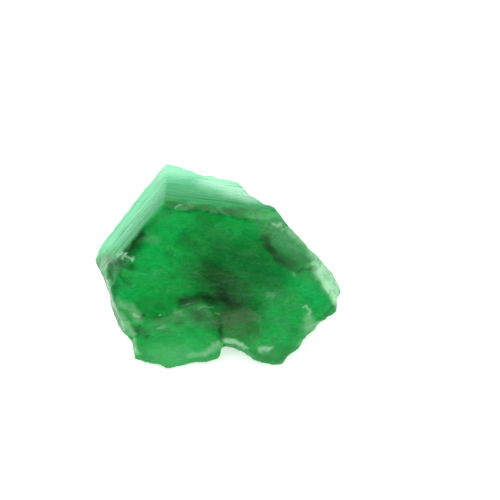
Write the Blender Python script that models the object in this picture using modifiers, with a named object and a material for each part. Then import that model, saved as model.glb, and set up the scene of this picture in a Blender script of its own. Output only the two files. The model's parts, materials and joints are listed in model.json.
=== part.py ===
"""Raw emerald crystal: one broken piece of a six-sided beryl prism, resting on its broken underside.

The script works in metres with +Z up; the sizes in the tables below are millimetres, and MM turns them
into metres. The stone has a frame of its own, the crystal's frame: x to the right, w up the slope of the
broad face, and c out of that face, along the axis of the prism. The stone is cut in that frame and stood
up, and at the end it is moved so that the origin is on the ground under its middle.
"""

import math

import bmesh
import bpy
from mathutils import Matrix, Vector, noise

MM = 0.001
NODE = "emerald_crystal"
COLLECTION = "Raw emerald crystal"

# How the crystal stands: the broad face slopes up and away from the front.
FACE_SLOPE_DEG = 50.0
FACE_CENTRE = (0.0, 3.27, 4.86)

# The walls of the prism: the direction each faces round the c axis, in degrees from x, its distance from
# that axis, and how far it leans in towards the back. The grown walls, top and upper left, don't lean.
PRISM_TURN_DEG = -7.5
WALLS = {
    "top": (90, 4.55, 0),
    "upper_left": (150, 5.46, 0),
    "upper_right": (33, 5.80, 0),
    "lower_left": (204, 6.26, -12),
    "lower_right": (330, 6.60, 12),
}
BROAD_FACE = ((0, 0, 0), (0, 0, 1))
BLOCK = 40.0

# Flat breaks: a point on each and the direction it faces, in the crystal's frame.
BREAKS = {
    "bevel_under_top": ((0, 4.18, 0), (0.10, 0.70, 0.70)),
    "right_brow": ((4.33, 3.23, 0), (0.76, 0.57, -0.32)),
    "right_bevel": ((5.04, 2.09, 0), (0.80, 0.33, 0.50)),
    "left_foot": ((-2.47, -6.22, 0), (-0.40, -0.92, -0.10)),
    "right_foot": ((3.30, -5.52, 0), (0.10, -0.98, -0.10)),
    "right_toe": ((3.98, -5.20, 0), (0.71, -0.70, -0.10)),
    "left_undercut": ((-5.60, -3.70, -1.60), (-0.60, -0.62, -0.50)),
}
# Flat breaks behind the crystal, where it came away from the rest: the same, in the standing frame.
REAR_BREAKS = {
    "back": ((-3.00, 10.50, 5.40), (0.35, 0.94, -0.03)),
    "back_left": ((-3.12, 10.42, 5.37), (-0.665, 0.76, -0.03)),
    "back_right": ((3.27, 6.60, 7.60), (0.70, 0.70, 0.21)),
    "underside": ((0.00, 0.00, 0.00), (0.00, 0.00, -1.00)),
}

# Wedges taken out of the block: the planes round each wedge, facing out of it, in the crystal's frame.
WEDGES = {
    "step_in_top": (
        ((1.80, 0, -1.75), (-0.96, 0.0, 0.28)),
        ((1.84, 4.35, -1.90), (-0.54, -0.54, 0.64)),
    ),
    "notch": (
        ((0.26, -4.52, 0), (-0.88, 0.48, 0.0)),
        ((0.35, -4.57, 0), (0.42, 0.91, 0.0)),
    ),
    "heel": (
        ((-0.50, -5.30, 0), (-0.24, 0.97, 0.0)),
        ((0.50, 0, 0), (1.0, 0.0, 0.0)),
    ),
    "frosted_shoulder": (
        ((3.60, 2.04, 0), (-0.22, -0.17, -0.96)),
        ((4.53, 0.48, 0), (0.36, -0.93, 0.0)),
    ),
}

# Shell-shaped breaks: a point below where each bites the stone, the way it faces, its radius on the
# surface and its depth, in the crystal's frame.
SCOOPS = {
    "lobe": ((-2.31, -4.09, 0), (0.0, 0.0, 1.0), 2.66, 0.42),
    "saddle": ((0.95, -2.80, 0), (0.05, -0.15, 1.0), 1.50, 0.20),
    "notch_facet": ((0.95, -4.15, 0), (0.0, -0.60, 0.80), 0.60, 0.14),
    "foot_pit": ((2.75, -4.75, 0), (0.05, -0.20, 1.0), 0.50, 0.12),
    "right_chip": ((5.50, -2.90, 0), (0.62, -0.48, 0.62), 0.55, 0.12),
    "corner_chip": ((6.15, -2.60, 0), (0.80, -0.55, 0.30), 0.40, 0.12),
    "left_corner": ((-6.40, 0.50, -0.40), (-0.45, 0.10, 0.88), 0.85, 0.22),
    "edge_hollow": ((-5.10, 2.10, 0), (-0.15, 0.12, 1.0), 0.80, 0.12),
    "left_nick": ((-4.80, -4.30, -0.60), (-0.90, -0.40, 0.15), 0.75, 0.30),
    "top_edge": ((-0.70, 4.50, -4.50), (0.10, 0.70, -0.70), 0.90, 0.14),
}
# The same for the breaks behind the crystal, in the standing frame.
REAR_SCOOPS = {
    "back_hollow": ((-0.90, 6.0, 2.6), (0.35, 0.94, 0.10), 1.90, 0.40),
    "back_left_hollow": ((-3.40, 5.0, 1.3), (-0.66, 0.74, -0.10), 1.50, 0.34),
    "back_right_hollow": ((2.60, 4.5, 3.6), (0.72, 0.68, 0.10), 2.10, 0.50),
    "right_hollow": ((3.50, 3.2, 2.6), (0.90, 0.30, -0.32), 1.60, 0.34),
    "right_heel": ((3.20, 3.0, 1.0), (0.86, -0.20, -0.46), 1.30, 0.26),
    "left_hollow": ((-3.60, 3.0, 1.2), (-0.90, 0.05, -0.42), 1.00, 0.22),
    "back_crest": ((1.40, 5.0, 3.4), (0.55, 0.83, 0.10), 1.20, 0.24),
}

# How uneven such a break is: the waves across its radius, and their height as a share of its depth.
SCOOP_WAVES = 1.30
SCOOP_BUMP = 0.65

# Lumps that stand out of the block: centre and half-sizes, in the crystal's frame.
LUMPS = {
    "lobe_rim": ((-3.10, -4.95, -0.80), (1.60, 0.50, 0.45)),
    "right_knuckle": ((3.00, -4.70, -0.60), (0.95, 0.60, 0.55)),
}

# Growth ridges along the two grown walls: place along the c axis, half-width and height. Each rises and
# fades over a length of about RIDGE_RUN.
TOP_RIDGES = (
    (-0.80, 0.18, 0.04),
    (-1.45, 0.20, 0.03),
    (-2.50, 0.28, 0.05),
    (-3.60, 0.25, 0.04),
)
LEFT_RIDGES = (
    (-0.45, 0.20, 0.06),
    (-1.05, 0.15, 0.04),
    (-1.70, 0.22, 0.05),
    (-2.65, 0.18, -0.09),
    (-3.35, 0.16, 0.04),
    (-3.90, 0.25, 0.06),
)
RIDGE_RUN = 1.60

# The swell and the grain of a broken surface: length and height of each, and the share of them that the
# grown walls and the broad face have.
SWELL = (2.40, 0.27)
GRAIN = (0.80, 0.10)
GRAIN_START = Vector((11.0, 5.0, 3.0))
GROWN_SHARE = 0.12
BROAD_SHARE = 0.36

# The fine mesh that the roughness is given to, the triangles kept of it, and the slice off the underside that
# leaves one flat face to rest on.
VOXEL = 0.11
TRIANGLES = 9000
REST_SLICE = 0.10

GREEN = (0.004, 0.26, 0.05, 1.0)
ROUGHNESS = 0.22
EMERALD_IOR = 1.58


def wall_facing(turn, lean=0.0):
    """The direction that a wall of the prism faces, in the crystal's frame."""
    angle = math.radians(turn + PRISM_TURN_DEG)
    tilt = math.radians(lean)
    return Vector((math.cos(angle) * math.cos(tilt), math.sin(angle) * math.cos(tilt), -math.sin(tilt)))


def standing():
    """The matrix that stands the crystal up."""
    slope = math.radians(FACE_SLOPE_DEG)
    return Matrix.Translation(Vector(FACE_CENTRE) * MM) @ Matrix.Rotation(slope, 4, "X")


def cut(bm, point, facing):
    """Take off what lies in front of a plane, and close the stone with one flat face."""
    done = bmesh.ops.bisect_plane(
        bm,
        geom=bm.verts[:] + bm.edges[:] + bm.faces[:],
        plane_co=Vector(point) * MM,
        plane_no=Vector(facing).normalized(),
        clear_outer=True,
    )
    rim = [item for item in done["geom_cut"] if isinstance(item, bmesh.types.BMEdge)]
    if rim:
        bmesh.ops.holes_fill(bm, edges=rim, sides=0)


def solid_behind(planes):
    """A bmesh of the solid that lies behind all of the planes, inside a big cube."""
    bm = bmesh.new()
    bmesh.ops.create_cube(bm, size=BLOCK * MM)
    for point, facing in planes:
        cut(bm, point, facing)
    return bm


def new_object(name, bm, collection):
    bmesh.ops.recalc_face_normals(bm, faces=bm.faces[:])
    mesh = bpy.data.meshes.new(name)
    bm.to_mesh(mesh)
    bm.free()
    obj = bpy.data.objects.new(name, mesh)
    collection.objects.link(obj)
    return obj


def new_collection(name):
    collection = bpy.data.collections.new(name)
    bpy.context.scene.collection.children.link(collection)
    return collection


def block(collection):
    """The prism with its flat breaks, standing on the ground."""
    walls = []
    for turn, distance, lean in WALLS.values():
        walls.append((wall_facing(turn) * distance, wall_facing(turn, lean)))
    bm = solid_behind([BROAD_FACE, *walls, *BREAKS.values()])
    bm.transform(standing())
    for point, facing in REAR_BREAKS.values():
        cut(bm, point, facing)
    return new_object(NODE, bm, collection)


def wedge(name, collection):
    bm = solid_behind(WEDGES[name])
    bm.transform(standing())
    return new_object(name, bm, collection)


def scoop(name, stone, point, facing, size, collection):
    """The uneven ball that leaves a shell-shaped break where a line from the point leaves the stone."""
    radius, depth = size
    ball = (radius**2 + depth**2) / (2 * depth)
    outside = point + facing * BLOCK * MM
    surface = stone.ray_cast(outside, -facing)[1]
    bm = bmesh.new()
    bmesh.ops.create_icosphere(bm, subdivisions=6, radius=ball * MM)
    bm.transform(Matrix.Translation(surface + facing * (ball - depth) * MM))
    bm.normal_update()
    for vert in bm.verts:
        wave = noise.noise(vert.co / MM * SCOOP_WAVES / radius + GRAIN_START)
        vert.co += vert.normal * SCOOP_BUMP * depth * wave * MM
    return new_object(name, bm, collection)


def scoops(stone, collection):
    """One ball for each shell-shaped break."""
    turn = standing().to_3x3()
    found = []
    for name, (point, facing, *size) in SCOOPS.items():
        outward = (turn @ Vector(facing)).normalized()
        found.append(scoop(name, stone, standing() @ (Vector(point) * MM), outward, size, collection))
    for name, (point, facing, *size) in REAR_SCOOPS.items():
        outward = Vector(facing).normalized()
        found.append(scoop(name, stone, Vector(point) * MM, outward, size, collection))
    return found


def lump(name, collection):
    centre, half = LUMPS[name]
    bm = bmesh.new()
    bmesh.ops.create_icosphere(bm, subdivisions=4, radius=MM)
    bm.transform(standing() @ Matrix.Translation(Vector(centre) * MM) @ Matrix.Diagonal((*half, 1.0)))
    return new_object(name, bm, collection)


def add_boolean(stone, tool, operation):
    modifier = stone.modifiers.new(tool.name, "BOOLEAN")
    modifier.operation = operation
    modifier.solver = "EXACT"
    modifier.object = tool


def apply_modifiers(obj):
    """Make the shape that the modifiers give the object's own mesh."""
    graph = bpy.context.evaluated_depsgraph_get()
    shaped = bpy.data.meshes.new_from_object(obj.evaluated_get(graph))
    obj.modifiers.clear()
    obj.data = shaped
    shaped.name = obj.name


def share_on(facing, wall):
    """1 where a surface faces the way that the wall does, fading to 0 as it turns away."""
    return min(max((facing.dot(wall) - 0.88) / 0.08, 0.0), 1.0)


def ridges(point, rows):
    """The height of the growth ridges at a point. Each one rises and fades along its length."""
    total = 0.0
    for at, half, height in rows:
        along = Vector((point.x / RIDGE_RUN, point.y / RIDGE_RUN, 3 * at))
        drift = 0.12 * noise.noise(along + GRAIN_START)
        strength = 0.75 + 0.9 * noise.noise(along)
        total += height * strength * math.exp(-(((point.z - at - drift) / half) ** 2))
    return total


def relief(point, facing, down):
    """How far the surface stands out at a point, in millimetres: ridges on grown walls, swell on the rest."""
    on_top = share_on(facing, wall_facing(90))
    on_left = share_on(facing, wall_facing(150))
    on_broad = share_on(facing, Vector((0, 0, 1)))
    on_ground = share_on(facing, down)
    swell = SWELL[1] * noise.noise(point / SWELL[0])
    grain = GRAIN[1] * noise.noise(point / GRAIN[0] + GRAIN_START)
    rough = 1 - (1 - GROWN_SHARE) * max(on_top, on_left) - (1 - BROAD_SHARE) * on_broad - on_ground
    grown = on_top * ridges(point, TOP_RIDGES) + on_left * ridges(point, LEFT_RIDGES)
    return rough * (swell + grain) + grown


def roughen(stone):
    to_crystal = standing().inverted()
    turn = to_crystal.to_3x3()
    down = turn @ Vector((0, 0, -1))
    bm = bmesh.new()
    bm.from_mesh(stone.data)
    bm.normal_update()
    moves = [
        vert.normal * relief((to_crystal @ vert.co) / MM, turn @ vert.normal, down) * MM for vert in bm.verts
    ]
    for vert, move in zip(bm.verts, moves):
        vert.co += move
    bm.to_mesh(stone.data)
    bm.free()


def rest_on_ground(stone):
    """Slice the underside level, and move the stone to stand on the origin."""
    bm = bmesh.new()
    bm.from_mesh(stone.data)
    cut(bm, (0, 0, REST_SLICE), (0, 0, -1))
    across = [vert.co.x for vert in bm.verts]
    along = [vert.co.y for vert in bm.verts]
    middle = Vector((min(across) + max(across), min(along) + max(along), 2 * REST_SLICE * MM)) / 2
    bm.transform(Matrix.Translation(-middle))
    bm.to_mesh(stone.data)
    bm.free()


def emerald():
    material = bpy.data.materials.new("Emerald")
    material.use_nodes = True
    surface = material.node_tree.nodes["Principled BSDF"]
    surface.inputs["Base Color"].default_value = GREEN
    surface.inputs["Metallic"].default_value = 0.0
    surface.inputs["Roughness"].default_value = ROUGHNESS
    surface.inputs["IOR"].default_value = EMERALD_IOR
    surface.inputs["Transmission Weight"].default_value = 1.0
    material.diffuse_color = GREEN
    return material


def main():
    for obj in list(bpy.data.objects):
        bpy.data.objects.remove(obj)
    pieces = new_collection(COLLECTION)
    tools = new_collection("Shaping tools")
    tools.hide_render = True
    stone = block(pieces)
    for name in WEDGES:
        add_boolean(stone, wedge(name, tools), "DIFFERENCE")
    for ball in scoops(stone, tools):
        add_boolean(stone, ball, "DIFFERENCE")
    for name in LUMPS:
        add_boolean(stone, lump(name, tools), "UNION")
    for tool in tools.objects:
        tool.hide_render = True
        tool.display_type = "WIRE"
    fine = stone.modifiers.new("even mesh", "REMESH")
    fine.mode = "VOXEL"
    fine.voxel_size = VOXEL * MM
    apply_modifiers(stone)
    roughen(stone)
    fewer = stone.modifiers.new("fewer triangles", "DECIMATE")
    fewer.ratio = TRIANGLES / (2 * len(stone.data.polygons))
    apply_modifiers(stone)
    rest_on_ground(stone)
    stone.data.materials.clear()
    stone.data.materials.append(emerald())


main()
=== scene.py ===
# %% [markdown]
# # Raw emerald crystal
# This lesson dresses one small piece of rough emerald, about 14 mm across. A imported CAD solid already
# gives its shape: the broad broken face, two grown prism walls and the breaks round them. Here the
# stone gets what an eye sees from close by: growth lines, hackly breaks, a cloudy see-through body,
# pale thin rims, dark inclusions and frosted patches.

import json
import math

import bpy
import numpy as np
from mathutils import Matrix, Vector, noise
from mathutils.bvhtree import BVHTree

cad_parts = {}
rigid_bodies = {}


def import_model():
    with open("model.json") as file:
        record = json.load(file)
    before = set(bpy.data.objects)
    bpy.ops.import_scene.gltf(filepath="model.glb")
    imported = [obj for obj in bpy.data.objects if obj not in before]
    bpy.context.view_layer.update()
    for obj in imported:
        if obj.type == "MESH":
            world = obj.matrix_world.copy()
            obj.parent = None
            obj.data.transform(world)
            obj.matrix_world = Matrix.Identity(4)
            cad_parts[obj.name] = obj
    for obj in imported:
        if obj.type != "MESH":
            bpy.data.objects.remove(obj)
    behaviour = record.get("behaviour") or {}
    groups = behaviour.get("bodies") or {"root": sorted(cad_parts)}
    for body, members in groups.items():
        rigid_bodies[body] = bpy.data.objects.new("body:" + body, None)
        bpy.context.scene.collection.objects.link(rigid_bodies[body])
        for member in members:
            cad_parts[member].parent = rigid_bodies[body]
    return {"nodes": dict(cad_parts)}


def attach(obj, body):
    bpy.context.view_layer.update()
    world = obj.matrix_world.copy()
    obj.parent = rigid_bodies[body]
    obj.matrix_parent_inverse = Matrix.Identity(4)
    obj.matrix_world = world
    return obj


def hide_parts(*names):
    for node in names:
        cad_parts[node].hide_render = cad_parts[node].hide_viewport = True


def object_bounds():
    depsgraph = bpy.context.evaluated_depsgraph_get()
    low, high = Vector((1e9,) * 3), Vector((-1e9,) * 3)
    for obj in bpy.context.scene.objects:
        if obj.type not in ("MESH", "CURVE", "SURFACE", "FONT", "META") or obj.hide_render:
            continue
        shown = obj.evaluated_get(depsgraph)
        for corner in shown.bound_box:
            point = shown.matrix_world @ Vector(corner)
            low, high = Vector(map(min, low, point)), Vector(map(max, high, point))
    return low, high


MM = 0.001

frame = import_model()
cad_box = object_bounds()
low, high = cad_box
print("solid:", " x ".join(f"{(b - a) / MM:.1f}" for a, b in zip(low, high)), "mm")

# %% [markdown]
# ## The camera
# A stone this small is best seen from far away through a long lens, because a near camera bends its
# walls. It looks down on the stone steeply, at 66 degrees. The lens follows from the distance and the
# width of the view there, so the stone's size in the frame is one number.

# %% The camera
VIEW_ELEVATION = math.radians(66)
CAMERA_DISTANCE = 200 * MM
VIEW_WIDTH = 28.7 * MM
SENSOR_WIDTH = 36.0
AIM = Vector((1.857, -0.181, 5.385)) * MM

towards_camera = Vector((0, -math.cos(VIEW_ELEVATION), math.sin(VIEW_ELEVATION)))
bpy.ops.object.camera_add(location=AIM + towards_camera * CAMERA_DISTANCE)
camera = bpy.context.object
camera.rotation_euler = (math.pi / 2 - VIEW_ELEVATION, 0, 0)
camera.data.sensor_width = SENSOR_WIDTH
camera.data.lens = SENSOR_WIDTH * CAMERA_DISTANCE / VIEW_WIDTH
camera.data.clip_start = 1 * MM
bpy.context.scene.camera = camera
print(f"lens {camera.data.lens:.0f} mm")

# %% [markdown]
# ## Helpers for shader nodes
# Every material, group and light setup below is a tree of nodes. Three helpers keep the cells short:
# one adds a node and fills in its sockets, one starts a node group with named inputs and outputs, and
# one turns a colour picked on a screen into the linear values that shaders work in.

# %% Node helpers
def add_node(tree, kind, sockets=None, **settings):
    """Add a node, set its options, and give each named or numbered socket a link or a value."""
    made = tree.nodes.new(kind)
    for name, value in settings.items():
        setattr(made, name, value)
    for key, value in (sockets or {}).items():
        if isinstance(value, bpy.types.NodeSocket):
            tree.links.new(value, made.inputs[key])
        else:
            made.inputs[key].default_value = value
    return made


def new_group(name, inputs, outputs):
    """Start a node group: each input is (name, type, default), each output (name, type)."""
    tree = bpy.data.node_groups.new(name, "ShaderNodeTree")
    for title, kind, default in inputs:
        socket = tree.interface.new_socket(title, in_out="INPUT", socket_type=kind)
        socket.default_value = default
    for title, kind in outputs:
        tree.interface.new_socket(title, in_out="OUTPUT", socket_type=kind)
    return tree, tree.nodes.new("NodeGroupInput"), tree.nodes.new("NodeGroupOutput")


def screen(red, green, blue):
    """A screen colour, 0 to 255, as the linear RGBA that shaders work in."""
    shares = [value / 255 for value in (red, green, blue)]
    return (*(s / 12.92 if s <= 0.04045 else ((s + 0.055) / 1.055) ** 2.4 for s in shares), 1.0)


FLOAT = "NodeSocketFloat"
VECTOR = "NodeSocketVector"

# %% [markdown]
# ## Light for a see-through stone
# A green crystal looks green only where light passes through it. Light that bounces off its skin is
# white and washes the colour out. So the studio is bright behind, above and on both sides, and the one
# spot that the broad face mirrors towards the eye, low in front, is left dark, as if a black card were
# held there. The sky's Generated coordinate is the direction that a ray flies in, and its dot product
# with the card's direction says how near to the card the ray points. Rays straight from the camera
# get a plain pale backdrop instead.

# %% Soft studio light
CARD_DIRECTION = (0.0, -0.97, 0.24)
CARD_RIM, CARD_MIDDLE = 0.35, 0.85
CARD_LIGHT = 0.02
SKY_LIGHT = 1.65
BACKDROP = (1.0, 1.0, 1.0, 1.0)

scene = bpy.context.scene
scene.view_settings.view_transform = "Standard"
world = bpy.data.worlds.new("Soft studio")
scene.world = world
world.use_nodes = True
sky = world.node_tree
sky.nodes.clear()
direction = add_node(sky, "ShaderNodeTexCoord").outputs["Generated"]
nearness = add_node(
    sky, "ShaderNodeVectorMath", {0: direction, 1: CARD_DIRECTION}, operation="DOT_PRODUCT"
).outputs["Value"]
brightness = add_node(
    sky,
    "ShaderNodeMapRange",
    {"Value": nearness, "From Min": CARD_RIM, "From Max": CARD_MIDDLE,
     "To Min": SKY_LIGHT, "To Max": CARD_LIGHT},
    interpolation_type="SMOOTHSTEP",
).outputs["Result"]
studio = add_node(sky, "ShaderNodeBackground", {"Color": BACKDROP, "Strength": brightness})
backdrop = add_node(sky, "ShaderNodeBackground", {"Color": BACKDROP, "Strength": 1.0})
from_camera = add_node(sky, "ShaderNodeLightPath").outputs["Is Camera Ray"]
chosen = add_node(
    sky, "ShaderNodeMixShader", {0: from_camera, 1: studio.outputs[0], 2: backdrop.outputs[0]}
)
add_node(sky, "ShaderNodeOutputWorld", {"Surface": chosen.outputs[0]})


def softbox(name, place, size, power):
    """A square lamp at a place in millimetres, turned to the stone."""
    bpy.ops.object.light_add(type="AREA", location=Vector(place) * MM)
    lamp = bpy.context.object
    lamp.name = name
    lamp.data.size = size * MM
    lamp.data.energy = power
    lamp.rotation_euler = (-Vector(place)).to_track_quat("-Z", "Y").to_euler()
    print(f"{name}: {power} W at {place} mm")


softbox("Soft key", place=(-70, 60, 90), size=60, power=0.05)

# %% [markdown]
# ## The table
# The stone lies on a plain white sheet of light acrylic, as on a jeweller's light table: it glows a
# little itself, so it stays pale right up to the stone, and light comes up into the thin edges.

# %% The white table
SHEET_SIZE = 4000
SHEET_DROP = 0.02
SHEET_DULL = (0.66, 0.66, 0.66, 1)
SHEET_WHITE = (0.72, 0.72, 0.72, 1)
TABLE_GLOW = 0.58

bpy.ops.mesh.primitive_plane_add(size=SHEET_SIZE * MM, location=(0, 0, -SHEET_DROP * MM))
table = bpy.context.object
table.name = "White_table"
acrylic = bpy.data.materials.new("White acrylic")
acrylic.use_nodes = True
sheet = acrylic.node_tree
speckle = add_node(
    sheet,
    "ShaderNodeTexNoise",
    {"Vector": add_node(sheet, "ShaderNodeTexCoord").outputs["Object"], "Scale": 60.0, "Detail": 3.0},
).outputs["Fac"]
tint = add_node(
    sheet, "ShaderNodeMix", {0: speckle, 6: SHEET_DULL, 7: SHEET_WHITE}, data_type="RGBA"
)
shine = sheet.nodes["Principled BSDF"]
sheet.links.new(tint.outputs[2], shine.inputs["Base Color"])
shine.inputs["Roughness"].default_value = 0.85
shine.inputs["Specular IOR Level"].default_value = 0.2
shine.inputs["Emission Color"].default_value = (1, 1, 1, 1)
shine.inputs["Emission Strength"].default_value = TABLE_GLOW
table.data.materials.append(acrylic)
print(f"{table.name}: {SHEET_SIZE} mm wide")

# %% [markdown]
# ## The crystal's own frame
# A crystal is easiest to describe in its own frame: x to the right, w up the slope of the broad face
# and c out of that face. The frame is tipped back 50 degrees. The same turn is used twice: here, to
# find the walls and to lay the growth lines, and in the material, to place its patterns.

# %% The crystal's frame
FACE_SLOPE = math.radians(50)
CRYSTAL_ORIGIN = Vector((0.0486, -1.7639, 4.76)) * MM
tip_back = Matrix.Rotation(FACE_SLOPE, 4, "X")
stand_up = Matrix.Translation(CRYSTAL_ORIGIN) @ tip_back


def facing(turn=0.0, rise=0.0):
    """The world direction of a crystal direction: turned round the c axis from x, and risen towards c."""
    turn, rise = math.radians(turn), math.radians(rise)
    own = Vector((math.cos(turn) * math.cos(rise), math.sin(turn) * math.cos(rise), math.sin(rise)))
    return tip_back.to_3x3() @ own


WALL_FACING = {
    "broad_face": facing(0, 90),
    "top_wall": facing(82.5),
    "left_wall": facing(142.5),
}
for name, way in WALL_FACING.items():
    print(f"{name} faces", ", ".join(f"{part:.2f}" for part in way))

# %% [markdown]
# ## The stone's mesh
# The solid is loose triangles, made to be exact and few. To carve growth lines only a tenth of a
# millimetre wide, the stone needs an even, fine mesh. So a copy of the solid is merged into one skin,
# and a Remesh modifier lays small squares over it.

# %% A fine copy of the solid
FINE = 0.078
SAME_POINT = 0.0005

solid = frame["nodes"]["emerald_crystal"]
stone = bpy.data.objects.new("emerald_stone", solid.data.copy())
scene.collection.objects.link(stone)
bpy.ops.object.select_all(action="DESELECT")
stone.select_set(True)
bpy.context.view_layer.objects.active = stone
bpy.ops.object.mode_set(mode="EDIT")
bpy.ops.mesh.select_mode(type="FACE")
bpy.ops.mesh.select_all(action="SELECT")
bpy.ops.mesh.remove_doubles(threshold=SAME_POINT * MM)
bpy.ops.object.mode_set(mode="OBJECT")
solid_tree = BVHTree.FromPolygons(
    [tuple(point.co) for point in stone.data.vertices],
    [tuple(face.vertices) for face in stone.data.polygons],
)


def apply(modifier):
    """Make a modifier's result the mesh itself."""
    bpy.ops.object.modifier_apply(modifier=modifier.name)


even = stone.modifiers.new("Even mesh", "REMESH")
even.mode = "VOXEL"
even.voxel_size = FINE * MM
apply(even)
print("stone:", len(stone.data.vertices), "points")

# %% [markdown]
# ## Finding the walls
# Each kind of surface is carved in its own way, so each gets a vertex group. Faces are selected by the
# way they point, and a grown wall is also the outermost thing on its side. Then their points are put in
# the group, and the group is smoothed so that one surface fades into the next. The low faces that turn
# down or sideways are left out of every group, so the stone keeps the flat it rests on.

# %% One vertex group for each surface
WALL_LEAST = {"broad_face": 0.93, "top_wall": 0.92, "left_wall": 0.92}
OUTERMOST = {"broad_face": 9.0, "top_wall": 1.4, "left_wall": 1.4}
FLAT_HEIGHT = 0.25
NOT_UPWARDS = 0.2


def group_faces(name, wanted, smooth=3):
    """Put the points of the wanted faces in a new vertex group that fades at its border."""
    mesh = stone.data
    mesh.polygons.foreach_set("select", np.ascontiguousarray(wanted, dtype=bool))
    bpy.ops.object.mode_set(mode="EDIT")
    bpy.ops.object.vertex_group_add()
    stone.vertex_groups.active.name = name
    bpy.ops.object.vertex_group_assign()
    bpy.ops.mesh.select_all(action="SELECT")
    if smooth:
        bpy.ops.object.vertex_group_smooth(group_select_mode="ACTIVE", factor=0.5, repeat=smooth)
    bpy.ops.mesh.select_all(action="DESELECT")
    bpy.ops.object.mode_set(mode="OBJECT")
    print(f"{name}: {int(np.sum(wanted))} faces")


def read_vectors(items, field):
    """One row of three numbers for each item of a mesh."""
    values = np.empty(len(items) * 3, np.float32)
    items.foreach_get(field, values)
    return values.reshape(-1, 3)


bpy.ops.object.mode_set(mode="EDIT")
bpy.ops.mesh.select_all(action="DESELECT")
bpy.ops.object.mode_set(mode="OBJECT")
face_normals = read_vectors(stone.data.polygons, "normal")
face_centres = read_vectors(stone.data.polygons, "center")
on_wall = {}
for name, least in WALL_LEAST.items():
    direction = np.array(WALL_FACING[name])
    reach = face_centres @ direction
    on_wall[name] = (face_normals @ direction > least) & (reach > reach.max() - OUTERMOST[name] * MM)
grown = on_wall["top_wall"] | on_wall["left_wall"]
resting = (face_centres[:, 2] < FLAT_HEIGHT * MM) & (face_normals[:, 2] < NOT_UPWARDS)
for name, wanted in on_wall.items():
    group_faces(name, wanted & ~resting)
group_faces("grown_walls", grown & ~resting)
group_faces("broken", ~grown & ~on_wall["broad_face"] & ~resting)

# %% [markdown]
# ## Carving with textures
# A Displace modifier pushes each point along its normal by the grey value of a texture. The texture is
# laid out by an empty: its scale says how long one unit of the pattern is along each of its axes, so
# one round cloud texture becomes long thin lines when the empty is long in two directions and thin in
# the third. The empty is deleted once the modifier is applied.

# %% The carving tool
def texture(name, kind, **settings):
    """A texture to carve with, and its settings."""
    made = bpy.data.textures.new(name, kind)
    for key, value in settings.items():
        setattr(made, key, value)
    return made


def carve(name, pattern, height, group, scale, place=(0, 0, 0), middle=0.5):
    """Raise and lower the stone by a texture, height and scale in mm, the place in the crystal's frame."""
    bpy.ops.object.empty_add(type="PLAIN_AXES")
    ruler = bpy.context.object
    spot = Matrix.Translation(Vector(place) * MM)
    ruler.matrix_world = stand_up @ spot @ Matrix.Diagonal((*(Vector(scale) * MM), 1.0))
    bpy.context.view_layer.update()
    stone.select_set(True)
    bpy.context.view_layer.objects.active = stone
    push = stone.modifiers.new(name, "DISPLACE")
    push.texture = pattern
    push.texture_coords = "OBJECT"
    push.texture_coords_object = ruler
    push.strength = height * MM
    push.mid_level = middle
    push.vertex_group = group
    apply(push)
    bpy.data.objects.remove(ruler)
    print(f"carved {name}, {height} mm high")


# %% [markdown]
# ## Growth lines
# A beryl prism grows in thin layers, and their edges stand on its walls as straight fine lines, all
# parallel to the edge of the broad face. Real ones come in many widths, so carvings are laid over each
# other: broad steps, narrow lines, and slow waves that keep the walls from looking ruled. Hair lines
# are finer than the mesh, so they wait for the material.

# %% Growth lines on the two walls
steps = texture("Growth steps", "CLOUDS", noise_scale=1.0, noise_depth=1, noise_type="HARD_NOISE")
lines = texture("Growth lines", "CLOUDS", noise_scale=1.0, noise_depth=2)
carve("growth steps", steps, 0.06, "grown_walls", (7.0, 7.0, 0.34))
carve("growth lines", lines, 0.06, "grown_walls", (4.5, 4.5, 0.15), place=(3, 1, 2))
carve("waves", lines, 0.10, "grown_walls", (1.6, 1.6, 1.2), place=(5, 1, 2))

# %% [markdown]
# ## Broken surfaces
# Beryl breaks like thick glass: hollow shells with fine ripples, and between them a rough, hackly
# skin of tiny steps. The broad face is the calmest break, with a faint grain along it.

# %% Hackle and grain
hackle = texture(
    "Hackle", "MUSGRAVE", musgrave_type="RIDGED_MULTIFRACTAL", noise_scale=1.0, octaves=5, noise_intensity=0.6
)
grain = texture("Grain", "CLOUDS", noise_scale=1.0, noise_depth=4)
chips = texture("Chips", "VORONOI", noise_scale=1.0, distance_metric="DISTANCE", noise_intensity=1.0)
carve("hackle", hackle, 0.10, "broken", (1.5, 1.5, 1.5), middle=0.6)
carve("chips", chips, 0.09, "broken", (0.7, 0.7, 0.7))
carve("grain", grain, 0.07, "broken", (0.45, 0.45, 0.45))
carve("face grain", grain, 0.05, "broad_face", (1.6, 0.5, 0.7))
carve("face swell", grain, 0.10, "broad_face", (3.0, 2.0, 2.0), place=(4, 2, 1))

# %% [markdown]
# The big shell at the foot of the stone and the hollow beside it are the marks of single blows.
# Rings of a wood texture, centred where the blow fell, give such a hollow its ripples. Each hollow has
# the place of the blow, the size of the pattern and how far the ripples reach, in millimetres.

# %% Ripples of the blows
RIPPLE_HEIGHT = 0.012

ripples = texture(
    "Ripples", "WOOD", wood_type="RINGNOISE", noise_scale=0.35, turbulence=7.0, noise_basis_2="SIN"
)
RIPPLED = {"lobe": ((-2.3, -6.2, 0.0), 1.0, 2.9), "saddle": ((0.9, -4.8, 0.0), 0.8, 1.9)}
for name, (focus, apart, reach) in RIPPLED.items():
    middle_of_ring = np.array(stand_up @ (Vector(focus) * MM))
    near = np.linalg.norm(face_centres - middle_of_ring, axis=1) < reach * MM
    group_faces(name, near & on_wall["broad_face"] & ~resting, smooth=12)
    carve(f"ripples of the {name}", ripples, RIPPLE_HEIGHT, name, (apart, apart, apart), place=focus)

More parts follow.
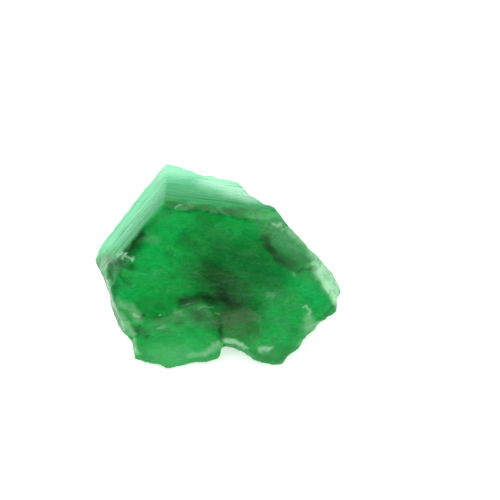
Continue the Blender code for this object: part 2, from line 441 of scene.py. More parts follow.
bpy.ops.object.shade_smooth()
print("dressed stone:", len(stone.data.polygons), "faces")

# %% [markdown]
# ## What each point knows about itself
# Some colours follow the stone's shape, not a pattern in space: thin rims are painted pale, a painted
# glow of the light that passes through so little green, and knocked edges are scuffed white. So each
# point of the mesh gets a few numbers, kept as attributes that the material reads. First come its place
# in the crystal's frame, and how deep the stone is there along its c axis, measured with rays shot through
# it.

# %% Places, directions and thickness
STEP_IN = 0.05


def group_weights(name):
    """How much each point belongs to a vertex group."""
    index = stone.vertex_groups[name].index
    weights = np.zeros(len(stone.data.vertices))
    for point in stone.data.vertices:
        for member in point.groups:
            if member.group == index:
                weights[point.index] = member.weight
    return weights


def remember(name, values):
    """Keep one number for each point as an attribute of the mesh."""
    layer = stone.data.attributes.new(name, "FLOAT", "POINT")
    layer.data.foreach_set("value", np.ascontiguousarray(values, dtype=np.float32))
    print(f"{name}: mean {float(np.mean(values)):.2f}")


def ramp(values, start, end):
    """A soft step: 0 at start and before, 1 at end and after."""
    share = np.clip((values - start) / (end - start), 0, 1)
    return share * share * (3 - 2 * share)


places = read_vectors(stone.data.vertices, "co")
normals = read_vectors(stone.data.vertex_normals, "vector")
to_crystal = np.array(stand_up.inverted())
own_places = (places @ to_crystal[:3, :3].T + to_crystal[:3, 3]) / MM
own_normals = normals @ to_crystal[:3, :3].T

thickness = np.empty(len(places))
c_axis = WALL_FACING["broad_face"]
for index, place in enumerate(places):
    inwards = -c_axis if own_normals[index, 2] > 0 else c_axis
    start = Vector(place) + inwards * STEP_IN * MM
    hit = solid_tree.ray_cast(start, inwards)
    thickness[index] = hit[3] / MM if hit[0] else 0.0
print(f"thickness: up to {thickness.max():.1f} mm")

# %% [markdown]
# ## Marks in their own places
# A noise texture makes marks everywhere alike, but what makes one stone itself is a few marks in
# their own places: the dark heart, which is painted shade, the brown stain by the notch, the frosted
# shoulder, the pale strips along its rims, which are painted glow and highlights. Each is a size, a
# strength and a short line of places, given one by one. On the broad face a place is x and w, and on
# the grown walls and the tip it is x and c, all in millimetres.

# %% Marks: painted shade, dark inclusions and painted shadows
# Shade marks: painted shade, deepest in the thick heart of the stone and under the top edge.
SHADE_MARKS = {
    "heart": (1.70, 0.88, (-0.2, 0.3), (0.5, -0.7), (0.9, -1.8)),
    "heart's middle": (0.90, 1.00, (0.2, -0.9), (0.8, -1.7)),
    "heart's left arm": (0.60, 0.92, (-1.9, -1.5), (-1.1, -1.1), (-0.3, -1.2)),
    "heart's foot": (0.50, 0.90, (0.8, -1.8), (0.7, -2.5)),
    "corner's shade": (0.60, 0.70, (-5.2, 1.9), (-4.6, 2.4)),
    "centre shade": (1.50, 0.60, (0.3, 1.6), (1.7, 1.0), (2.5, 0.2)),
    "upper shade": (0.70, 0.32, (-0.5, 4.0), (-0.8, 3.0)),
    "middle shade": (0.55, 0.45, (-1.8, 2.5), (-1.2, 2.0)),
    "lower shade": (0.50, 0.35, (-1.6, 1.3), (-1.1, 0.4)),
    "shade left of the stain": (0.60, 0.65, (-1.1, -2.4), (-0.2, -2.8)),
    "hollow above the lobe": (0.45, 0.35, (-3.6, -2.4), (-2.2, -2.6)),
    "shade above the lobe": (0.70, 0.30, (-4.4, -1.9), (-2.4, -1.6)),
    "right vein's shade": (0.50, 0.85, (2.7, 2.4), (3.3, 1.4), (4.3, 0.9)),
    "right shade": (0.90, 0.50, (2.6, 2.3), (3.6, 1.1), (5.0, 1.2)),
    "toe's shade": (0.55, 0.35, (3.0, -4.9), (4.0, -4.6)),
    "line down from the heart": (0.35, 0.55, (0.1, -2.8), (0.3, -3.7)),
    "shade under the top edge": (0.34, 0.60, (-2.8, 4.7), (-0.5, 4.5), (2.3, 4.2)),
    "corner shadow's green": (0.34, 0.90, (-5.0, 2.1), (-4.4, 2.8)),
}
# Dark marks: the veins, the crack and the flecks are inclusions; the corner shadows, the shadow under the
# left edge, the pits and hollows, the edge of the notch, the foot of the toe and the heart's core are painted
# shadow and shade.
DARK_MARKS = {
    "core of the heart": (0.36, 0.55, (-0.6, -1.2), (0.4, -1.3), (1.0, -1.6)),
    "corner shadow": (0.36, 0.45, (-5.2, 1.9), (-4.6, 2.1)),
    "corner shadow's point": (0.16, 0.50, (-4.9, 2.3), (-4.4, 2.8)),
    "shadow under the left edge": (0.14, 0.40, (-4.4, 2.9), (-4.0, 3.4), (-3.4, 4.1)),
    "smudge below the corner": (0.22, 0.60, (-5.6, 1.1), (-5.0, 0.9)),
    "left vein": (0.13, 0.50, (-5.6, 0.6), (-5.4, 0.1), (-5.1, -0.3)),
    "right vein's head": (0.20, 0.40, (2.5, 2.7), (2.9, 2.2), (3.1, 1.6)),
    "right vein": (0.26, 0.50, (3.0, 1.9), (3.3, 1.4), (4.1, 0.9)),
    "right vein's twin": (0.20, 0.45, (4.3, 1.7), (4.8, 1.4), (5.0, 1.1)),
    "right crack": (0.05, 0.90, (4.5, 0.5), (5.0, 0.7), (5.5, 0.8)),
    "top fleck": (0.13, 0.60, (0.5, 4.2), (0.8, 4.1)),
    "streak beside the top fleck": (0.09, 0.45, (1.1, 4.1), (1.8, 3.9)),
    "line under the top edge": (0.08, 0.30, (-2.2, 4.7), (-0.9, 4.6), (0.6, 4.4)),
    "line above the notch": (0.13, 0.70, (0.1, -2.6), (0.2, -3.3), (0.4, -3.9)),
    "edge of the notch": (0.06, 0.70, (0.3, -4.3), (1.1, -4.5), (1.9, -4.8)),
    "pit at the left rim": (0.16, 0.75, (-4.6, -2.4), (-4.4, -2.2)),
    "hollow of the left nick": (0.26, 0.65, (-4.8, -3.2), (-4.2, -3.6)),
    "foot of the right toe": (0.16, 0.50, (2.1, -4.9), (2.6, -5.2), (3.3, -5.3), (4.0, -4.9)),
    "right rim": (0.12, 0.50, (6.1, -2.3), (6.7, -1.7)),
}
print(len(SHADE_MARKS), "patches of shade and", len(DARK_MARKS), "dark marks")

# %% Marks: pale flakes, painted highlights and painted glow
# Pale marks: flakes and specks on the skin, and painted highlights and glow on the rims, the strips, the
# notch, the ripples and the spots.
PALE_MARKS = {
    "shoulder's rim": (0.22, 0.60, (4.2, 3.1), (4.9, 2.3), (5.4, 1.6)),
    "shoulder's flakes": (0.10, 0.60, (3.1, 3.5), (3.3, 3.3), (3.5, 3.4)),
    "shoulder's dots": (0.08, 0.60, (3.6, 3.1), (3.9, 3.2)),
    "haze on the lobe": (0.60, 0.12, (-3.6, -4.9), (-2.2, -4.9)),
    "right strip, top": (0.26, 0.65, (5.3, 1.7), (5.8, 0.9)),
    "right strip": (0.36, 1.00, (5.9, 0.5), (6.2, -0.2), (6.5, -0.8)),
    "right strip, foot": (0.28, 0.95, (6.5, -0.8), (6.8, -1.4)),
    "curl": (0.08, 0.75, (4.9, -1.8), (5.1, -1.7), (5.3, -2.0), (5.2, -2.5)),
    "patch below the curl": (0.28, 0.42, (5.2, -2.6), (5.2, -3.1)),
    "lower right rim": (0.17, 0.60, (5.8, -3.1), (5.3, -3.6), (4.7, -4.1)),
    "notch": (0.17, 1.00, (0.5, -4.0), (0.9, -4.1), (1.3, -4.4)),
    "notch's right side": (0.08, 0.80, (1.3, -4.4), (1.7, -4.7)),
    "lobe's right rim": (0.19, 0.48, (0.0, -4.2), (-0.3, -4.6), (-0.9, -5.0), (-1.8, -5.2)),
    "spot above the toe": (0.16, 0.80, (2.5, -4.7), (2.9, -4.5)),
    "left rim": (0.18, 0.60, (-6.6, 0.7), (-6.5, -0.3), (-6.1, -1.7), (-5.5, -2.8), (-5.0, -3.5)),
    "lobe's left rim": (0.10, 0.70, (-4.9, -3.8), (-4.8, -4.5), (-4.6, -4.9)),
    "inner left band": (0.32, 0.38, (-5.6, -1.5), (-5.1, -1.9), (-4.7, -2.6)),
    "inner left spot": (0.12, 0.80, (-5.0, -2.3), (-4.8, -2.4)),
    "spots on the lobe": (0.12, 0.35, (-3.4, -3.2), (-3.2, -3.2)),
    "lobe dot": (0.05, 0.90, (-3.4, -2.2), (-3.4, -2.2)),
    "lobe wisp": (0.14, 0.18, (-2.4, -2.1), (-2.0, -2.2)),
    "ripple left": (0.05, 0.20, (-2.0, -1.8), (-1.5, -1.6)),
    "ripple right": (0.05, 0.20, (-1.2, -2.0), (-0.7, -1.8), (-0.3, -1.8)),
    "ripple's end": (0.06, 0.22, (-0.2, -2.1), (0.1, -2.2)),
    "corner squiggle": (0.06, 1.00, (-5.4, 1.4), (-5.2, 1.7), (-5.2, 1.5), (-4.8, 1.4)),
    "squiggle's end": (0.06, 1.00, (-4.9, 1.3), (-4.8, 1.5)),
    "line over the corner": (0.07, 0.70, (-6.1, 1.4), (-5.5, 1.7)),
    "right dots": (0.08, 0.35, (4.2, 0.3), (4.3, 0.2)),
    "right wisp": (0.14, 0.20, (2.8, -1.1), (3.0, -1.1)),
    "face dot": (0.04, 0.70, (-2.5, 1.6), (-2.5, 1.6)),
    "dash under the top edge": (0.05, 0.40, (-2.3, 4.5), (-2.1, 4.7)),
    "wisp under the left edge": (0.30, 0.08, (-3.9, 2.7), (-3.6, 2.5)),
}
print(len(PALE_MARKS), "pale marks")

# %% Marks: frost, stain and painted glow
FROST_MARKS = {
    "shoulder": (0.70, 0.80, (3.0, 3.3), (3.9, 2.8), (4.7, 2.1)),
    "shoulder's rim": (0.26, 0.70, (3.2, 4.3), (4.2, 3.3), (5.2, 2.0)),
    "shoulder's speckles": (0.26, 1.00, (3.1, 3.4), (3.6, 3.1)),
    "shoulder's middle": (0.40, 0.90, (4.2, 2.9), (4.6, 2.3)),
    "right band": (0.34, 0.30, (1.8, 4.4), (3.0, 4.0)),
    "left corner": (0.36, 1.00, (-6.1, 1.0), (-5.5, 1.4)),
    "lower right haze": (0.90, 0.22, (3.4, -2.4), (3.6, -3.4)),
    "middle haze": (0.90, 0.08, (0.9, 0.3), (1.5, -0.6)),
    "right haze": (0.80, 0.25, (3.3, -1.2), (4.3, -1.6)),
}
STAIN_MARKS = {
    "stain": (0.80, 0.90, (0.8, -2.7), (1.3, -3.0), (1.6, -3.4)),
    "stain's rise": (0.42, 0.50, (1.2, -2.0), (1.6, -2.5)),
    "stain's foot": (0.22, 0.50, (0.6, -3.5), (1.0, -3.7)),
    "right rim's stain": (0.18, 0.50, (5.6, -3.3), (5.1, -3.8)),
    "lobe rim's stain": (0.16, 0.45, (-0.2, -4.5), (-0.9, -5.0)),
}
VIVID_MARKS = {
    "right glow": (0.90, 0.95, (5.0, -0.2), (5.6, -0.9), (5.8, -1.5)),
    "upper left glow": (0.90, 0.60, (-3.0, 3.6), (-2.4, 3.2)),
    "left glow": (0.90, 0.45, (-3.8, 2.2), (-4.0, 0.9)),
    "left rim's glow": (0.60, 0.85, (-5.7, -0.5), (-5.4, -1.2)),
    "lobe's glow": (1.00, 0.75, (-3.8, -4.5), (-2.6, -4.7), (-1.4, -4.4)),
    "lower right glow": (1.00, 0.35, (3.4, -1.9), (3.7, -3.0), (3.5, -4.0)),
    "upper right glow": (0.60, 0.40, (0.7, 3.1), (1.6, 2.9)),
}
print(len(FROST_MARKS), "of frost,", len(STAIN_MARKS), "of stain and", len(VIVID_MARKS), "of glow")

# %% Marks: the tip and the grown walls
TIP_MARKS = {
    "tip": (0.60, 1.00, (-6.9, -2.2), (-6.6, -1.4), (-6.1, -0.5)),
    "under the tip": (0.50, 0.80, (-6.8, -3.0), (-6.5, -2.4)),
}
# The lit marks are painted highlights on the grown walls.
LIT_WALL_MARKS = {
    "lit top": (1.20, 0.75, (0.0, -3.5), (1.0, -3.0), (1.8, -2.6)),
    "lit crest": (0.80, 0.50, (-2.9, -4.6), (-1.4, -4.2)),
}
DEEP_WALL_MARKS = {
    "end of the left wall": (0.80, 0.55, (-6.4, -0.6), (-5.7, -0.6)),
    "left of the top wall": (1.10, 0.38, (-2.7, -0.6), (-2.2, -2.0), (-1.6, -2.6)),
    "foot of the top wall": (0.60, 0.50, (-2.5, -0.8), (0.5, -0.9), (2.0, -0.8)),
    "groove of the left wall": (0.24, 0.40, (-5.6, -3.1), (-5.0, -2.6), (-4.4, -2.1), (-3.4, -2.0)),
    "second groove": (0.20, 0.35, (-5.6, -1.5), (-4.9, -0.9), (-4.2, -0.7)),
}
print(len(TIP_MARKS), "on the tip,", len(LIT_WALL_MARKS) + len(DEEP_WALL_MARKS), "on the walls")

# %% [markdown]
# ## Painting the marks
# A mark is strongest on its line, is down to half at nine tenths of its size, and is gone at 1.7 times
# its size. Drawn like this it would look ruled, so the places are first pushed about by two noises, a
# slow one that bends the line and a quick one that frays it. Marks of one kind are combined by taking
# the strongest. All this needs a way to blend values with those of their neighbours.

# %% Smoothing over the mesh
edge_ends = np.empty(len(stone.data.edges) * 2, np.int64)
stone.data.edges.foreach_get("vertices", edge_ends)
first, second = edge_ends.reshape(-1, 2).T
neighbours = np.bincount(edge_ends, minlength=len(places))[:, None]
print(f"{len(first)} edges, {neighbours.mean():.1f} neighbours for each point")


def smoothed(values, rounds):
    """Blend each point's values with the mean of its neighbours', a number of times."""
    values = np.array(values, dtype=float)
    for _ in range(rounds):
        total = np.zeros_like(values)
        for column in range(values.shape[1]):
            total[:, column] = np.bincount(first, values[second, column], len(values))
            total[:, column] += np.bincount(second, values[first, column], len(values))
        values = (values + total / neighbours) / 2
    return values


# %% [markdown]
# The marks of the broad face must not reach the walls beside it. Which way a point faces is read from
# smoothed normals, because the carved steps turn the true ones to and fro, which would cut a mark
# near the edge into stripes. The left wall ends in a small leaning break at the stone's tip, so the
# grown walls are cut off there.

# %% Paint each kind of mark
BEND, BEND_SIZE, BEND_START = 0.24, 0.9, 37.7
FRAY, FRAY_SIZE, FRAY_START = 0.11, 0.28, 41.3
AXIS_SHIFTS = (31.7, 17.3)
BREAK_AT, BREAK_LEAN, BREAK_SOFTNESS = 1.8, 0.49, 0.45
TURNED_AWAY, TURNED_OUT = -0.1, 0.35
SMOOTHING_ROUNDS = 14
FULL_UNTIL, GONE_AT = 0.1, 1.7


def wander(size, reach, start):
    """A smooth push for each point in mm, the same in every run, from one plain noise per axis."""
    pushes = np.empty_like(own_places)
    for axis in range(3):
        shift = Vector((start, start + AXIS_SHIFTS[0] * axis, start - AXIS_SHIFTS[1] * axis))
        pushes[:, axis] = [noise.noise(Vector(place) / size + shift) for place in own_places]
    return reach * pushes


pushed = own_places + wander(BEND_SIZE, BEND, BEND_START) + wander(FRAY_SIZE, FRAY, FRAY_START)
faces_out = ramp(smoothed(own_normals, SMOOTHING_ROUNDS)[:, 2], TURNED_AWAY, TURNED_OUT)
past_the_break = ramp(
    pushed[:, 1] - BREAK_LEAN * pushed[:, 2], BREAK_AT - BREAK_SOFTNESS, BREAK_AT + BREAK_SOFTNESS
)
on_walls = group_weights("grown_walls") * past_the_break


def distance_to_line(spots, line):
    """How far each spot on a plane is from a line of places."""
    nearest = np.full(len(spots), np.inf)
    for start, end in zip(line[:-1], line[1:]):
        start, along = np.array(start), np.array(end) - np.array(start)
        share = np.clip(((spots - start) @ along) / max(along @ along, 1e-9), 0, 1)
        nearest = np.minimum(nearest, np.linalg.norm(spots - start - share[:, None] * along, axis=1))
    return nearest


def paint(name, marks, plane, mask):
    """Paint all marks of one kind on a plane of the crystal's frame, where the mask lets them show."""
    painted = np.zeros(len(pushed))
    for size, strength, *line in marks.values():
        away = distance_to_line(pushed[:, plane], line)
        painted = np.maximum(painted, strength * (1 - ramp(away, FULL_UNTIL * size, GONE_AT * size)))
    remember(name, painted * mask)


FACE_PLANE, WALL_PLANE = [0, 1], [0, 2]
off_walls = faces_out * (1 - on_walls)
paint("shade", SHADE_MARKS, FACE_PLANE, off_walls)
paint("dark", DARK_MARKS, FACE_PLANE, off_walls)
paint("pale", PALE_MARKS, FACE_PLANE, off_walls)
paint("frost", FROST_MARKS, FACE_PLANE, off_walls)
paint("stain", STAIN_MARKS, FACE_PLANE, off_walls)
paint("vivid", VIVID_MARKS, FACE_PLANE, off_walls)
paint("smoky", TIP_MARKS, WALL_PLANE, 1 - on_walls)
paint("lit", LIT_WALL_MARKS, WALL_PLANE, on_walls)
paint("deep", DEEP_WALL_MARKS, WALL_PLANE, on_walls)

# %% [markdown]
# Scuffed edges come from the shape as well. If every point is moved towards the mean of its neighbours
# again and again, a ridge sinks inwards and a hollow fills. How far a point sank along its normal
# says how sharp the edge was there, and how deep a hollow is, which gets painted shade. Where the
# stone is thin it gets a painted pale glow, and its deep far sides get painted shade, so both are kept
# as shares from 0 to 1. All the limits are in millimetres.

# %% Worn edges
SINKING_ROUNDS = 40
NORMAL_ROUNDS = 6
BLUNT, SHARP = 0.030, 0.110
THINNEST, THICK = 0.3, 3.2
SHALLOW, DEEPEST = 1.5, 6.5


def smoothed_column(values, rounds):
    """Smooth one number for each point."""
    return smoothed(values[:, None], rounds)[:, 0]


way_moved = places - smoothed(places, SINKING_ROUNDS)
sunk = np.einsum("ij,ij->i", way_moved, smoothed(normals, NORMAL_ROUNDS)) / MM
sunk = smoothed_column(sunk, 3)
remember("edge", ramp(sunk, BLUNT, SHARP))
# The hollows and the deep far sides are painted shade, the thin rims a painted glow.
remember("hollow", ramp(-sunk, BLUNT, SHARP))
remember("thin", 1 - ramp(smoothed_column(thickness, 10), THINNEST, THICK))
remember("grown", on_walls)
remember("chalky", group_weights("broken"))
remember("depth", ramp(smoothed_column(thickness, 20), SHALLOW, DEEPEST) * (1 - faces_out))
remember("left", group_weights("left_wall") * past_the_break)

# %% [markdown]
# ## Effects as node groups
# Two effects come back several times in the emerald: soft clouds with ragged borders, and growth lines
# on the walls. Each is made once as a node group with named inputs, and placed with its own values.
# Both work in millimetres of the crystal's frame, and small clouds serve as grain as well.

# %% Group: ragged clouds
def make_clouds():
    """A noise cut to a mask between two of its grey values."""
    tree, given, result = new_group(
        "Ragged clouds",
        [("Place", VECTOR, (0, 0, 0)), ("Stretch", VECTOR, (1, 1, 1)), ("Detail", FLOAT, 4.0),
         ("Warp", FLOAT, 0.3), ("From", FLOAT, 0.4), ("To", FLOAT, 0.6)],
        [("Mask", FLOAT)],
    )
    inputs = given.outputs
    sized = add_node(
        tree, "ShaderNodeVectorMath", {0: inputs["Place"], 1: inputs["Stretch"]}, operation="MULTIPLY"
    )
    cloud = add_node(
        tree,
        "ShaderNodeTexNoise",
        {"Vector": sized.outputs[0], "Scale": 1.0, "Detail": inputs["Detail"],
         "Roughness": 0.6, "Distortion": inputs["Warp"]},
    )
    cut = add_node(
        tree,
        "ShaderNodeMapRange",
        {"Value": cloud.outputs["Fac"], "From Min": inputs["From"], "From Max": inputs["To"]},
        interpolation_type="SMOOTHSTEP",
    )
    tree.links.new(cut.outputs["Result"], result.inputs["Mask"])
    return tree


# %% Group: growth lines
def make_growth_lines():
    """A noise that is long across the c axis and thin along it."""
    tree, given, result = new_group(
        "Growth lines",
        [("Place", VECTOR, (0, 0, 0)), ("Per mm", FLOAT, 6.0), ("Length", FLOAT, 0.25)],
        [("Lines", FLOAT)],
    )
    inputs = given.outputs
    scales = add_node(
        tree, "ShaderNodeCombineXYZ",
        {"X": inputs["Length"], "Y": inputs["Length"], "Z": inputs["Per mm"]},
    )
    squeezed = add_node(
        tree, "ShaderNodeVectorMath", {0: inputs["Place"], 1: scales.outputs[0]}, operation="MULTIPLY"
    )
    lines_noise = add_node(
        tree, "ShaderNodeTexNoise",
        {"Vector": squeezed.outputs[0], "Scale": 1.0, "Detail": 3.0, "Roughness": 0.65, "Distortion": 0.15},
    )
    tree.links.new(lines_noise.outputs["Fac"], result.inputs["Lines"])
    return tree


# %% Build the groups
clouds = make_clouds()
growth_lines = make_growth_lines()
print("groups:", clouds.name, "and", growth_lines.name)

# %% [markdown]
# ## Emerald
# Emerald is beryl coloured by a trace of chromium. It is clear, with an index of refraction near
# 1.58, and it drinks red and some blue from the light on its way through. But rough emerald is full
# of veils and breaks that scatter light, so the material is part clear and part body: a transmission
# of 0.4 with absorption in the volume, over a painted, scattering base. The paint goes on in layers,
# each one a mix of the colour so far with a new colour by a mask.

# %% The emerald's colours and clearness
DEEP = screen(0, 94, 32)
BODY = screen(0, 197, 76)
VIVID = screen(12, 216, 104)
SHADED = screen(0, 52, 15)
BLACKGREEN = screen(0, 14, 4)
FROSTED = screen(94, 163, 121)
STAINED = screen(66, 115, 61)
WALL_LOW = screen(3, 145, 77)
WALL_HIGH = screen(112, 227, 170)
LEFT_LOW = screen(58, 158, 104)
LEFT_HIGH = screen(128, 220, 168)
SMOKY = screen(26, 84, 52)
ICE = screen(205, 255, 226)
RIM = screen(99, 203, 126)
PALE = screen(190, 252, 204)
TRANSMISSION = 0.4
BERYL_IOR = 1.58
GLOSS = 0.12
ABSORBED_TINT = (0.10, 0.85, 0.42, 1.0)
ABSORPTION_PER_M = 150.0
print("the body's green in linear light:", ", ".join(f"{part:.3f}" for part in BODY[:3]))

# %% [markdown]
# The patterns work in millimetres of the crystal's own frame, so a Mapping node scales, turns and
# shifts the Object coordinates. The short helpers after it each place one effect or lay one colour.

# %% The crystal's frame in the material
emerald = bpy.data.materials.new("Emerald")
emerald.use_nodes = True
gem = emerald.node_tree
gem.nodes.clear()
to_mm = add_node(
    gem,
    "ShaderNodeMapping",
    {"Vector": add_node(gem, "ShaderNodeTexCoord").outputs["Object"],
     "Location": tuple(-(tip_back.to_3x3().inverted() @ CRYSTAL_ORIGIN) / MM),
     "Rotation": (-FACE_SLOPE, 0, 0),
     "Scale": (1 / MM, 1 / MM, 1 / MM)},
    vector_type="POINT",
)
spot = to_mm.outputs["Vector"]
depth = add_node(gem, "ShaderNodeSeparateXYZ", {0: spot}).outputs["Z"]
print(f"patterns: {1 / MM:.0f} units to a metre, turned {math.degrees(-FACE_SLOPE):.0f} degrees")


# %% Tools for the paint
def known(name):
    """A number that each point of the stone remembers."""
    return add_node(gem, "ShaderNodeAttribute", attribute_name=name).outputs["Fac"]


def place_clouds(stretch, start, end, detail=4.0, warp=0.3):
    """A mask of clouds, with a number of waves per mm along x, w and c, that fills from start to end."""
    group = gem.nodes.new("ShaderNodeGroup")
    group.node_tree = clouds
    gem.links.new(spot, group.inputs["Place"])
    values = {"Stretch": stretch, "Detail": detail, "Warp": warp, "From": start, "To": end}
    for name, value in values.items():
        group.inputs[name].default_value = value
    return group.outputs["Mask"]


def place_lines(per_mm, length):
    """Grey growth lines, so many per mm, each as long as its waves per mm say."""
    group = gem.nodes.new("ShaderNodeGroup")
    group.node_tree = growth_lines
    gem.links.new(spot, group.inputs["Place"])
    group.inputs["Per mm"].default_value = per_mm
    group.inputs["Length"].default_value = length
    return group.outputs["Lines"]


def times(one, other):
    """The product of two values."""
    return add_node(gem, "ShaderNodeMath", {0: one, 1: other}, operation="MULTIPLY").outputs[0]


def blend(one, other, share):
    """A share of the second colour in the first."""
    return add_node(gem, "ShaderNodeMix", {0: share, 6: one, 7: other}, data_type="RGBA").outputs[2]


def layer(under, over, mask, strength=1.0):
    """Lay one colour over another by a mask."""
    return blend(under, over, times(mask, strength))


def rescale(value, start, end, low=0.0, high=1.0):
    """A soft step from low at start to high at end."""
    return add_node(
        gem, "ShaderNodeMapRange",
        {"Value": value, "From Min": start, "From Max": end, "To Min": low, "To Max": high},
        interpolation_type="SMOOTHSTEP",
    ).outputs["Result"]


# %% [markdown]
# The body of the stone comes first. It is one full green, made deeper here and livelier there by
# clouds of several sizes, with the painted glow and shade among them. The shade is broken up by a
# cloud of its own, because an even patch would look sprayed on.

# %% The green of the body
paint_now = layer(BODY, VIVID, place_clouds((0.5, 0.6, 0.5), 0.42, 0.75), 0.55)
paint_now = layer(paint_now, DEEP, place_clouds((0.9, 1.1, 0.9), 0.52, 0.80), 0.60)
paint_now = layer(paint_now, VIVID, place_clouds((0.5, 3.5, 3.5), 0.50, 0.80, 5.0), 0.25)
# Painted glow: the vivid marks, where light shines through thin stone.
paint_now = layer(paint_now, VIVID, known("vivid"), 0.9)
mottle = place_clouds((1.5, 2.0, 2.0), 0.40, 0.70, 4.0, 0.2)
paint_now = layer(paint_now, DEEP, mottle, 0.30)
paint_now = layer(paint_now, VIVID, place_clouds((1.5, 3.0, 3.0), 0.50, 0.75, 6.0, 0.5), 0.40)
shade_cloud = place_clouds((0.9, 1.4, 1.4), -0.40, 0.50, 5.0, 0.6)
# Painted shade of the thick heart and under the top edge.
paint_now = layer(paint_now, SHADED, times(known("shade"), shade_cloud))
fine_mottle = place_clouds((3.2, 5.0, 5.0), 0.40, 0.66, 4.0, 0.3)
paint_now = layer(paint_now, DEEP, fine_mottle, 0.22)
# Painted shade on the deep far sides of the stone, broken up by a cloud.
thick_shade_cloud = place_clouds((0.5, 0.8, 0.6), 0.35, 0.62, 6.0, 0.8)
paint_now = layer(paint_now, SHADED, times(known("depth"), thick_shade_cloud), 0.75)
print("body:", len(gem.nodes), "nodes")

# %% [markdown]
# What lies on the stone or just under its skin comes next: chalky breaks, the brown stain, the frost
# with its gaps and specks, and the dark marks, which are inclusions in part and painted shadow in part.
# A strength above one makes a patch solid in its middle while its border stays ragged.

# %% Chalk, stain, frost, dark inclusions and painted shadow
chalk = place_clouds((1.3, 1.6, 1.3), 0.46, 0.72, 6.0, 0.6)
paint_now = layer(paint_now, FROSTED, times(known("chalky"), chalk), 0.50)
stain_cloud = place_clouds((1.9, 1.5, 1.5), 0.26, 0.64, 6.0, 0.7)
paint_now = layer(paint_now, STAINED, times(known("stain"), stain_cloud), 1.25)
frost_cloud = place_clouds((2.2, 2.8, 2.8), 0.36, 0.62, 6.0, 0.4)
paint_now = layer(paint_now, FROSTED, times(known("frost"), frost_cloud), 1.2)
frost_breaks = times(known("frost"), place_clouds((4.2, 5.0, 5.0), 0.47, 0.62, 5.0, 0.8))
paint_now = layer(paint_now, DEEP, frost_breaks, 0.65)
frost_specks = times(known("frost"), place_clouds((7.5, 8.0, 8.0), 0.58, 0.70, 4.0, 0.6))
paint_now = layer(paint_now, PALE, frost_specks, 0.60)
# Dark inclusions, and painted shadow in the corners, pits and hollows.
dark_cloud = place_clouds((2.0, 2.4, 2.4), 0.15, 0.62, 6.0, 0.8)
paint_now = layer(paint_now, BLACKGREEN, times(known("dark"), dark_cloud), 1.1)
print("with its marks:", len(gem.nodes), "nodes")

# %% [markdown]
# The grown walls have a paint of their own. Each is deepest along the edge of the broad face and grows
# paler away from it, a painted glow of light through the thinner stone towards its outline, and the
# growth lines run along it as darker and lighter stripes. The lit streaks on them are painted highlights.

# %% The paint of the walls
fine_lines = place_lines(9.0, 0.30)
broad_lines = place_lines(3.2, 0.22)
# Painted glow: the walls paler away from the broad face, where the stone is thinner and lets more light
# through.
wall_paint = blend(WALL_LOW, WALL_HIGH, rescale(depth, -0.5, -4.8))
left_paint = blend(LEFT_LOW, LEFT_HIGH, rescale(depth, 0.0, -3.6))
wall_paint = layer(wall_paint, left_paint, known("left"), 0.95)
dashes = times(rescale(fine_lines, 0.44, 0.66), place_clouds((0.9, 0.9, 1.2), 0.34, 0.66, 3.0))
wall_paint = layer(wall_paint, LEFT_LOW, times(dashes, known("left")), 0.60)
wall_paint = layer(wall_paint, WALL_HIGH, rescale(fine_lines, 0.48, 0.75), 0.15)
wall_paint = layer(wall_paint, WALL_LOW, rescale(broad_lines, 0.45, 0.80), 0.35)
wall_paint = layer(wall_paint, WALL_LOW, known("deep"), 0.8)
# Painted highlights: pale streaks where the lit marks are.
streaks = rescale(broad_lines, 0.25, 0.58)
wall_paint = layer(wall_paint, ICE, times(known("lit"), streaks), 0.95)
print("walls:", len(gem.nodes), "nodes")

# %% [markdown]
# What follows the shape goes over the rest: the painted pale glow of the thin rims, the smoky tip and
# the grown walls, then the pale flakes with the painted highlights and glow of the rims, the scuffed
# edges, and painted shade in the hollows.

# %% Rims, tip, walls and edges over the body
# Painted glow: thin rims paler, as light would pass through them.
paint_now = layer(paint_now, RIM, known("thin"), 0.45)
smoke = times(known("smoky"), place_clouds((2.2, 2.2, 2.2), 0.20, 0.58))
paint_now = layer(paint_now, SMOKY, smoke, 0.9)
paint_now = layer(paint_now, wall_paint, known("grown"))
# Pale flakes, and painted highlights and glow along the rims.
pale_cloud = place_clouds((2.2, 2.8, 2.8), 0.14, 0.56, 6.0, 0.4)
paint_now = layer(paint_now, PALE, times(known("pale"), pale_cloud))
scuffs = times(known("edge"), place_clouds((1.5, 1.5, 1.5), 0.35, 0.65))
paint_now = layer(paint_now, FROSTED, scuffs, 0.30)
# Painted shade: the hollows a deeper green.
paint_now = layer(paint_now, DEEP, known("hollow"), 0.35)
print("paint:", len(gem.nodes), "nodes")

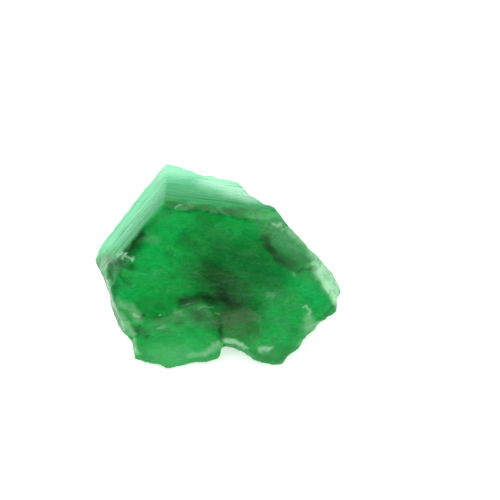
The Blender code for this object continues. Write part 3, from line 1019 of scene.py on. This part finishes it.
# %% [markdown]
# The skin is smoothest where the stone broke clean, satin on the grown walls, and matt at the back and
# where it is frosted. A little bump adds what is finer than the mesh: hair lines on the walls and a
# grain all over.

# %% How matt the skin is
PLAIN_MATT = 0.30
GROWN_MATT = 0.20
FROST_MATT = 0.40
GRAIN_MATT = 0.16
BACK_MATT = 0.25


def plus(one, other):
    """The sum of two values, at most 1."""
    return add_node(
        gem, "ShaderNodeMath", {0: one, 1: other}, operation="ADD", use_clamp=True
    ).outputs[0]


matt = plus(times(known("grown"), GROWN_MATT), PLAIN_MATT)
matt = plus(times(known("frost"), FROST_MATT), matt)
matt = plus(times(place_clouds((5.0, 5.0, 5.0), 0.35, 0.70, 5.0), GRAIN_MATT), matt)
matt = plus(matt, rescale(depth, -3.2, -5.2, 0.0, BACK_MATT))
print(f"roughness: {PLAIN_MATT} where plain, {PLAIN_MATT + FROST_MATT:.2f} where frosted")

# %% Bump and shader
GRAIN_DEPTH = 0.04
HAIR_LINE_DEPTH = 0.08

grain_bump = add_node(
    gem, "ShaderNodeBump",
    {"Height": place_clouds((7.0, 7.0, 7.0), 0.0, 1.0, 5.0), "Strength": 0.25,
     "Distance": GRAIN_DEPTH * MM},
)
lines_bump = add_node(
    gem, "ShaderNodeBump",
    {"Height": times(place_lines(15.0, 0.4), known("grown")), "Strength": 0.35,
     "Distance": HAIR_LINE_DEPTH * MM, "Normal": grain_bump.outputs[0]},
)
skin = add_node(
    gem, "ShaderNodeBsdfPrincipled",
    {"Base Color": paint_now, "Roughness": matt, "IOR": BERYL_IOR,
     "Transmission Weight": TRANSMISSION, "Specular IOR Level": GLOSS, "Normal": lines_bump.outputs[0]},
)
inside = add_node(
    gem, "ShaderNodeVolumeAbsorption", {"Color": ABSORBED_TINT, "Density": ABSORPTION_PER_M}
)
add_node(gem, "ShaderNodeOutputMaterial", {"Surface": skin.outputs[0], "Volume": inside.outputs[0]})
print(f"skin: {TRANSMISSION} clear, index {BERYL_IOR}, {len(gem.nodes)} nodes")

stone.data.materials.clear()
stone.data.materials.append(emerald)
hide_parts("emerald_crystal")
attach(stone, "root")
